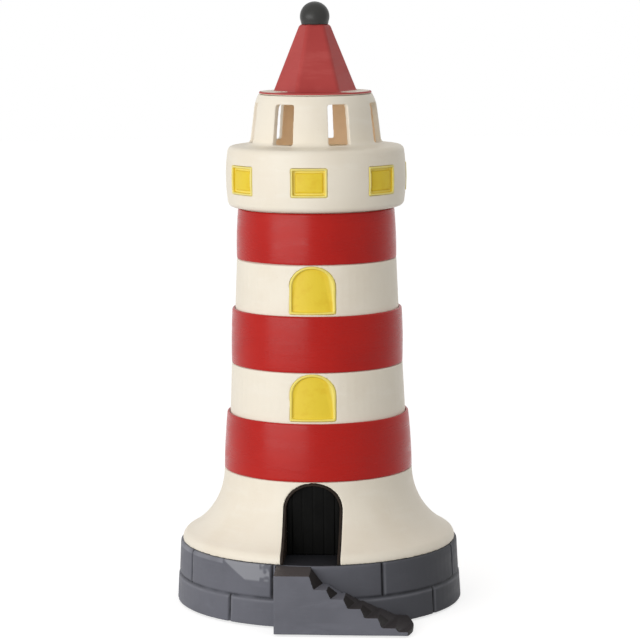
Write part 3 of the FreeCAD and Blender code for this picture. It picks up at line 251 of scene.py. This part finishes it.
PAINTS = {      # colour, shade, light, roughness, specular, relief in mm, mottle
    "red_paint": (srgb(178, 24, 16), srgb(160, 17, 12), srgb(188, 36, 27), 0.27, 0.2, 0.012, 0.35),
    "roof_red": (srgb(174, 66, 63), srgb(158, 50, 48), srgb(188, 88, 84), 0.46, 0.22, 0.04, 0.5),
}
STONES = {      # colour, shade, light
    "stone_grey": (srgb(106, 107, 115), srgb(94, 95, 102), srgb(118, 119, 128)),
    # painted shade on the stairs: risers, lower treads and the landing
    "riser_painted_shade": (srgb(40, 37, 36), srgb(30, 27, 26), srgb(54, 51, 50)),
    "tread_painted_shade": (srgb(60, 57, 58), srgb(46, 43, 43), srgb(74, 72, 74)),
    "landing_painted_shade": (srgb(78, 74, 74), srgb(62, 56, 53), srgb(90, 88, 90)),
}
PLAINS = {      # colour, shade, roughness, specular, grain in mm, relief in mm
    "door_black": (srgb(10, 10, 9), srgb(5, 5, 5), 0.5, 0.06, 2.5, 0.06),
    "lining_brown": (srgb(44, 36, 30), srgb(26, 21, 17), 0.55, 0.12, 2.0, 0.04),
    "ball_black": (srgb(50, 50, 48), srgb(34, 34, 33), 0.36, 0.3, 2.0, 0.04),
    "tan_inside": (srgb(244, 220, 190), srgb(230, 202, 168), 0.9, 0.1, 1.5, 0.05),
    "foam": (srgb(36, 36, 37), srgb(26, 26, 27), 0.95, 0.1, 0.6, 0.12),
    "seal_rubber": (srgb(44, 44, 45), srgb(32, 32, 33), 0.75, 0.2, 0.8, 0.02),
    "plate_steel": (srgb(112, 114, 116), srgb(98, 100, 103), 0.55, 0.3, 0.7, 0.03),
    "lead_white": (srgb(224, 223, 218), srgb(206, 204, 198), 0.5, 0.3, 1.0, 0.01),
    "terminal_plastic": (srgb(214, 213, 205), srgb(198, 196, 186), 0.45, 0.35, 0.9, 0.01),
    "holder_plastic": (srgb(34, 34, 36), srgb(24, 24, 25), 0.3, 0.4, 0.9, 0.008),
    "holder_ceramic": (srgb(218, 214, 206), srgb(202, 196, 186), 0.6, 0.3, 0.7, 0.02),
    "bulb_white": (srgb(232, 231, 227), srgb(218, 216, 210), 0.35, 0.4, 1.0, 0.006, 0.3),
    "gland_plastic": (srgb(44, 44, 46), srgb(32, 32, 33), 0.5, 0.35, 0.8, 0.015),
}
METALS = {      # colour, shade, roughness, stretch of the scratches
    "zinc_steel": (srgb(200, 201, 198), srgb(170, 172, 172), 0.32, (1, 1, 0.15)),
    "contact_brass": (srgb(200, 170, 98), srgb(172, 140, 74), 0.28, (1, 1, 0.2)),
    "bulb_metal": (srgb(206, 206, 206), srgb(180, 180, 182), 0.25, (0.2, 0.2, 1.5)),
}
mats = {"cream_paint": cream(), "yellow_pane": yellow(), "bulb_opal": lit_opal()}
mats.update({name: brushed_paint(name, *row).done() for name, row in PAINTS.items()})
mats.update({name: stone(name, *row) for name, row in STONES.items()})
mats.update({name: plain(name, *row) for name, row in PLAINS.items()})
mats.update({name: brushed_metal(name, *row) for name, row in METALS.items()})

slots = {row["node"]: row["material_slot"] for row in frame["record"]["subparts"]}


def meshes_of(node):
    top = frame["nodes"][node]
    return [obj for obj in [top] + list(top.children_recursive) if obj.type == "MESH"]


def coat(obj, node):
    """Gives an object its node's own material. The roof's red is paler than the bands'."""
    obj.data.materials.clear()
    obj.data.materials.append(mats["roof_red" if node == "roof" else slots[node]])


for node in frame["nodes"]:
    for obj in meshes_of(node):
        coat(obj, node)


# ---------------------------------------------------------------- moulded and hand-painted pieces
CASTINGS = {    # voxel in mm, rounds of smoothing, waves in mm, growth in mm, which closes the panes' seams
    "tower_shell": (0.6, 2, 0.3, 0.0),
    "gallery_lantern": (0.45, 3, 0.35, 0.0),
    "roof": (0.5, 3, 0.3, 0.0),
    "ball_finial": (0.5, 4, 0.15, 0.0),
    "red_sleeve_lower": (0.5, 3, 0.3, 0.0),
    "red_sleeve_middle": (0.5, 3, 0.3, 0.0),
    "red_sleeve_upper": (0.5, 3, 0.3, 0.0),
    "door_panel": (0.4, 2, 0.2, 0.0),
    "door_lining": (0.4, 2, 0.15, 0.0),
    "window_pane_lower": (0.35, 2, 0.1, 0.25),
    "window_pane_upper": (0.35, 2, 0.1, 0.25),
    "gallery_window_panes": (0.35, 2, 0.1, 0.25),
    "plinth": (0.55, 2, 0.3, 0.0),
    "stair_block": (0.4, 4, 0.25, 0.0),
}
WAVE_SIZE = 30.0 * MM       # length of the slight waves that casting by hand leaves
bodies = {node: body for body, nodes in frame["record"]["behaviour"]["bodies"].items() for node in nodes}

waves = bpy.data.textures.new("hand_waves", "CLOUDS")
waves.noise_scale = WAVE_SIZE
waves.noise_depth = 1


def copied_mesh(node):
    """One mesh with copies of all the meshes of a node."""
    bm = bmesh.new()
    for piece in meshes_of(node):
        bm.from_mesh(piece.data)
    mesh = bpy.data.meshes.new(node + "_cast")
    bm.to_mesh(mesh)
    bm.free()
    return mesh


def softened(node, voxel_mm, rounds, wave_mm, grow_mm):
    """A copy of a node with the soft edges and slight waves of a hand-finished casting."""
    obj = bpy.data.objects.new(node + "_cast", copied_mesh(node))
    scene.collection.objects.link(obj)
    cast = obj.modifiers.new("cast", "REMESH")
    cast.mode = "VOXEL"
    cast.voxel_size = voxel_mm * MM * 1.0
    soft = obj.modifiers.new("soft", "SMOOTH")
    soft.factor = 0.5
    soft.iterations = rounds
    wave = obj.modifiers.new("wave", "DISPLACE")
    wave.texture = waves
    wave.texture_coords = "LOCAL"
    wave.strength = wave_mm * MM
    wave.mid_level = 1.0
    grow = obj.modifiers.new("grow", "DISPLACE")
    grow.strength = grow_mm * MM
    grow.mid_level = 0.0
    finished = obj.evaluated_get(bpy.context.evaluated_depsgraph_get())
    obj.data = bpy.data.meshes.new_from_object(finished)
    obj.modifiers.clear()
    obj.data.shade_smooth()
    coat(obj, node)
    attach(obj, bodies[node])
    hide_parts(node)
    return obj


casts = {node: softened(node, *row) for node, row in CASTINGS.items()}


def mark(obj, name, values):
    """Writes one number per vertex for the materials."""
    obj.data.attributes.new(name, "FLOAT", "POINT").data.foreach_set("value", values)


def clamped(value):
    return min(max(value, 0.0), 1.0)


def bell(distance, half_width):
    return math.exp(-(distance / half_width) ** 2)


def radius_of(point):
    return math.hypot(point[0], point[1])


def degrees_of(point):
    """Degrees round the axis from the front, positive towards +X."""
    return math.degrees(math.atan2(point[0], -point[1]))


# ---- bare insides of the hollow pieces
INWARD = -0.35              # a face is bare inside when its normal points this much at the axis


def bare_inside(obj):
    """Gives the faces that look at the axis the bare tan of the casting."""
    obj.data.materials.append(mats["tan_inside"])
    tan_slot = len(obj.data.materials) - 1
    for face in obj.data.polygons:
        x, y, z = face.center
        r = max(math.hypot(x, y), MM)
        if (face.normal.x * x + face.normal.y * y) / r < INWARD:
            face.material_index = tan_slot


for node in ("tower_shell", "gallery_lantern", "roof"):
    bare_inside(casts[node])

# ---- roof: a thin red line runs round the brim's edge, and the rest of the brim is cream but for the front
BRIM_T = 1.6 * MM
BRIM_LINE = 1.0 * MM        # height of the red line, counted from the brim's top
BRIM_FLAT_R = 29.8 * MM     # the brim's level top is cream up to here
BRIM_RED_DEG = 42.0         # it stays red within this of the front, where the roof's face comes near
BRIM_SLACK = 0.3 * MM       # what the waves may add to its height
BRIM_LEVEL = 0.8            # least Z of a level face's normal


def cream_on_brim(face, brim_top):
    if face.center.z < brim_top - BRIM_LINE:
        return True
    level = face.normal.z > BRIM_LEVEL and face.center.z < brim_top + BRIM_SLACK
    return level and radius_of(face.center) < BRIM_FLAT_R and abs(degrees_of(face.center)) > BRIM_RED_DEG


def paint_brim(obj):
    brim_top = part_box("gallery_lantern")[1][2] + BRIM_T
    obj.data.materials.append(mats["cream_paint"])
    cream_slot = len(obj.data.materials) - 1
    for face in obj.data.polygons:
        if face.material_index == 0 and cream_on_brim(face, brim_top):
            face.material_index = cream_slot


paint_brim(casts["roof"])

# ---- ball: its softened seat goes back down onto the roof's tip
SEAT_BAND = 0.8 * MM
SEAT_DROP = 0.6 * MM
ball_vertices = casts["ball_finial"].data.vertices
ball_seat = min(v.co.z for v in ball_vertices)
for v in ball_vertices:
    if v.co.z < ball_seat + SEAT_BAND:
        v.co.z -= SEAT_DROP

# ---- window panes: slopes and sunk strips are paler, and so is the flush rim of a gallery pane
RIM_DEPTH = 0.4 * MM
SLOPE_DEPTH = 1.0 * MM
STRIP_DEPTH = 1.75 * MM
BLEND = 0.25 * MM
HEIGHT_STEP = 1.0 * MM


def depth_below_face(obj):
    """How deep each vertex lies below the piece's outermost surface at about its own height."""
    steps = [int(v.co.z / HEIGHT_STEP) for v in obj.data.vertices]
    radii = [radius_of(v.co) for v in obj.data.vertices]
    outer = {}
    for step, r in zip(steps, radii):
        outer[step] = max(outer.get(step, 0.0), r)
    return [outer[step] - r for step, r in zip(steps, radii)]


def pale_at(depth):
    return max(clamped((SLOPE_DEPTH - depth) / BLEND), clamped((depth - STRIP_DEPTH) / BLEND))


for node in ("window_pane_lower", "window_pane_upper", "gallery_window_panes"):
    depths = depth_below_face(casts[node])
    mark(casts[node], "pale", [pale_at(depth) for depth in depths])
    if node == "gallery_window_panes":
        mark(casts[node], "rim", [clamped((RIM_DEPTH - depth) / BLEND) for depth in depths])

# ---- plinth: degrees count from the front, a positive one towards +X
STONE_COUNT = 8
UPPER_DEG = -14.5
LOWER_DEG = -33.5
SPLIT = 16.0 * MM           # the level joint between the two courses
PLINTH_FACE = 75.5 * MM     # everything further out is the stones' face
JOINT_HALF = 0.7 * MM
JOINT_DEPTH = 0.25 * MM
LEVEL_STRENGTH = 0.6        # the level joint is fainter than the upright ones
FADE_SIZE = 9.0 * MM        # joints and painted edge highlights fade in and out over about this length
HIGHLIGHT_AWAY = 1.5 * MM        # the painted highlight on an edge runs this far right of, or below, a joint
HIGHLIGHT_HALF = 0.6 * MM
HIGHLIGHT_STRENGTH = 0.35
SHOULDER_HIGHLIGHT = (32.0 * MM, -78.0, -38.0)    # height and degrees of the painted highlight on the shoulder right below the tower
SHOULDER_HIGHLIGHT_STRENGTH = 0.75
HIGHLIGHT_PATCH_DEG = (-38.0, -26.5, -20.0, -15.5)   # painted highlight patch: its tip, its knee, where it gets ragged, its end
HIGHLIGHT_PATCH_LOW = 24.8 * MM
HIGHLIGHT_PATCH_EDGE = 0.5 * MM      # the patch fades in over this height
RAG_SIZE = 2.5 * MM
SHADE_SIDE = (70.0, 55.0)          # painted shade: the paint is darker about this direction, the side away from the lamp, over this many degrees
SHADE_SIDE_STRENGTH = 0.9
DECK = 34.2 * MM
DECK_SLACK = 0.4 * MM       # what the waves may take off its height
DOORSTEP = (1.0 * MM, 16.0 * MM)    # middle and half width of the floor behind the door's arch, darkened with painted shade
DOORSTEP_SHADE = 0.85


def from_upright_joint(degrees, start):
    """Degrees past the nearest upright joint of a course."""
    pitch = 360.0 / STONE_COUNT
    return (degrees - start + pitch / 2) % pitch - pitch / 2


def painted_highlight_patch(point, degrees):
    """Strength of the pale patch on the stone left of the stairs, a painted highlight, cut off along a
    slant at its left.
    """
    tip, knee, ragged, end = HIGHLIGHT_PATCH_DEG
    if not tip < degrees < end:
        return 0.0
    low = DECK - (DECK - HIGHLIGHT_PATCH_LOW) * clamped((degrees - tip) / (knee - tip))
    strength = clamped((point.z - low) / HIGHLIGHT_PATCH_EDGE)
    if degrees > ragged:
        strength *= clamped(0.6 + 2.5 * noise.noise(point / RAG_SIZE))
    return strength


def stone_marks(point, degrees):
    """Strength of the joint, the painted highlight beside it and the painted highlight of the pale patch at
    a point of the stones' face.
    """
    upper = point.z > SPLIT
    side = math.radians(from_upright_joint(degrees, UPPER_DEG if upper else LOWER_DEG)) * radius_of(point)
    fade = 0.4 + 0.6 * clamped(0.5 + 1.6 * noise.noise(point / FADE_SIZE))
    upright = bell(side, JOINT_HALF) * (1.0 if upper else fade)
    joint_and_shade = max(upright, bell(point.z - SPLIT, JOINT_HALF) * fade * LEVEL_STRENGTH)
    edge_highlight = max(bell(side - HIGHLIGHT_AWAY, HIGHLIGHT_HALF), bell(point.z - SPLIT + HIGHLIGHT_AWAY, HIGHLIGHT_HALF))
    edge_highlight *= HIGHLIGHT_STRENGTH * fade
    low, left, right = SHOULDER_HIGHLIGHT
    if point.z > low and left < degrees < right:
        edge_highlight = SHOULDER_HIGHLIGHT_STRENGTH * fade
    return joint_and_shade, edge_highlight, painted_highlight_patch(point, degrees) if upper else 0.0


def lay_stones(obj):
    """Deepens the mortar joints, and marks joints, painted highlights on edges and on the pale patch, and
    painted shade on the side away from the lamp and on the floor under the door's arch.
    """
    middle, half_width = DOORSTEP
    rows = []
    for v in obj.data.vertices:
        x, y, z = v.co
        degrees = degrees_of(v.co)
        joint_and_shade = edge_highlight = highlight_patch = 0.0
        if radius_of(v.co) > PLINTH_FACE:
            joint_and_shade, edge_highlight, highlight_patch = stone_marks(v.co, degrees)
            sunk = 1.0 - JOINT_DEPTH * joint_and_shade / radius_of(v.co)
            v.co = (x * sunk, y * sunk, z)
        # the floor under the door's arch gets painted shade through the joints' mark
        elif z > DECK - DECK_SLACK and y < 0 and abs(x - middle) < half_width:
            joint_and_shade = DOORSTEP_SHADE
        # the side away from the lamp gets painted shade
        rows.append((joint_and_shade, edge_highlight, highlight_patch, SHADE_SIDE_STRENGTH * bell(degrees - SHADE_SIDE[0], SHADE_SIDE[1])))
    for name, values in zip(("joint_and_shade", "edge_highlight", "highlight_patch", "painted_shade_side"), zip(*rows)):
        mark(obj, name, values)


lay_stones(casts["plinth"])

# ---- stairs: risers face right, away from the lamp, the landing lies left of the first riser; risers, landing and lower treads are coloured darker as painted shade
FIRST_RISER = 1.9 * MM
SHADED_TREADS = 20.0 * MM     # the treads carry painted shade from here on
TREAD_LEVEL = 0.75          # least Z of a tread's normal
RISER_RIGHT = 0.45          # least X of a riser's normal
STAIR_SLOTS = {"riser_painted_shade": 1, "landing_painted_shade": 2, "tread_painted_shade": 3}


# risers, landing and lower treads get the painted-shade materials
def paint_stairs(obj):
    for name in STAIR_SLOTS:
        obj.data.materials.append(mats[name])
    for face in obj.data.polygons:
        level = face.normal.z > TREAD_LEVEL
        if face.normal.x > RISER_RIGHT and face.normal.z < TREAD_LEVEL:
            face.material_index = STAIR_SLOTS["riser_painted_shade"]
        elif level and face.center.x < FIRST_RISER:
            face.material_index = STAIR_SLOTS["landing_painted_shade"]
        elif level and face.center.x > SHADED_TREADS:
            face.material_index = STAIR_SLOTS["tread_painted_shade"]


paint_stairs(casts["stair_block"])

# ---------------------------------------------------------------- stage, lamp and camera
FILL_COLOR = (1.0, 0.99, 0.975, 1)
FILL_STRENGTH = 0.62
WHITE = (1, 1, 1, 1)
FLOOR_R = 4.0
FLOOR_ALBEDO = 0.55
FLOOR_GLOW = 0.7            # what the floor lacks to be white, for the rays that show the background
LAMP_AIM = 0.17             # height on the axis that the lamp points at


def seen_directly(tree):
    """1 for the rays that show the background: camera, glossy and transmission."""
    rays = tree.nodes.new("ShaderNodeLightPath")
    value = rays.outputs["Is Camera Ray"]
    for kind in ("Is Glossy Ray", "Is Transmission Ray"):
        larger = tree.nodes.new("ShaderNodeMath")
        larger.operation = "MAXIMUM"
        tree.links.new(value, larger.inputs[0])
        tree.links.new(rays.outputs[kind], larger.inputs[1])
        value = larger.outputs[0]
    return value


def white_world():
    """Soft light from all around, under a white background."""
    world = bpy.data.worlds.new("studio")
    scene.world = world
    world.use_nodes = True
    tree = world.node_tree
    fill = tree.nodes["Background"]
    fill.inputs["Color"].default_value = FILL_COLOR
    fill.inputs["Strength"].default_value = FILL_STRENGTH
    white = tree.nodes.new("ShaderNodeBackground")
    white.inputs["Color"].default_value = WHITE
    white.inputs["Strength"].default_value = 1.0
    mix = tree.nodes.new("ShaderNodeMixShader")
    tree.links.new(seen_directly(tree), mix.inputs[0])
    tree.links.new(fill.outputs[0], mix.inputs[1])
    tree.links.new(white.outputs[0], mix.inputs[2])
    tree.links.new(mix.outputs[0], tree.nodes["World Output"].inputs["Surface"])


def stage_floor():
    """Round pale floor that shows white against the white surroundings and keeps the object's shadow."""
    bm = bmesh.new()
    bmesh.ops.create_circle(bm, cap_ends=True, segments=96, radius=FLOOR_R)
    mesh = bpy.data.meshes.new("stage_floor")
    bm.to_mesh(mesh)
    bm.free()
    floor = bpy.data.objects.new("stage_floor", mesh)
    scene.collection.objects.link(floor)
    mat = bpy.data.materials.new("stage_white")
    mat.use_nodes = True
    tree = mat.node_tree
    bsdf = tree.nodes["Principled BSDF"]
    bsdf.inputs["Base Color"].default_value = (FLOOR_ALBEDO, FLOOR_ALBEDO, FLOOR_ALBEDO, 1)
    bsdf.inputs["Roughness"].default_value = 1.0
    bsdf.inputs["Specular IOR Level"].default_value = 0.0
    strength = tree.nodes.new("ShaderNodeMath")
    strength.operation = "MULTIPLY"
    tree.links.new(seen_directly(tree), strength.inputs[0])
    strength.inputs[1].default_value = FLOOR_GLOW
    light = tree.nodes.new("ShaderNodeEmission")
    light.inputs["Color"].default_value = WHITE
    tree.links.new(strength.outputs[0], light.inputs["Strength"])
    add = tree.nodes.new("ShaderNodeAddShader")
    tree.links.new(bsdf.outputs[0], add.inputs[0])
    tree.links.new(light.outputs[0], add.inputs[1])
    tree.links.new(add.outputs[0], tree.nodes["Material Output"].inputs["Surface"])
    mesh.materials.append(mat)


def softbox(name, azimuth, distance, height, width, tall, power):
    """Area lamp seen azimuth degrees to the right of the front, aimed at the axis."""
    lamp = bpy.data.lights.new(name, "AREA")
    lamp.shape = "RECTANGLE"
    lamp.size = width
    lamp.size_y = tall
    lamp.energy = power
    obj = bpy.data.objects.new(name, lamp)
    scene.collection.objects.link(obj)
    a = math.radians(azimuth)
    obj.location = (distance * math.sin(a), -distance * math.cos(a), height)
    obj.rotation_euler = (Vector((0, 0, LAMP_AIM)) - obj.location).to_track_quat("-Z", "Y").to_euler()


white_world()
stage_floor()
softbox("key", azimuth=-36, distance=1.25, height=0.30, width=1.3, tall=0.6, power=9.3)

CAM_PLACE = (0.1126, -1.4306, 0.349)
CAM_AZ = 4.5                # degrees that the camera stands to the right of the front
CAM_PAN = 0.0636            # degrees that it is turned to the right, past the axis
CAM_TILT = 7.66
CAM_ROLL = 0.454
camera = bpy.data.objects.new("camera", bpy.data.cameras.new("camera"))
scene.collection.objects.link(camera)
camera.data.lens = 146.9
camera.data.sensor_width = 36
camera.data.clip_start = 0.05
camera.data.clip_end = 20
camera.matrix_world = (Matrix.Translation(CAM_PLACE)
                       @ Matrix.Rotation(math.radians(CAM_AZ - CAM_PAN), 4, "Z")
                       @ Matrix.Rotation(math.radians(90 - CAM_TILT), 4, "X")
                       @ Matrix.Rotation(math.radians(-CAM_ROLL), 4, "Z"))
scene.camera = camera

scene.view_settings.view_transform = "Standard"
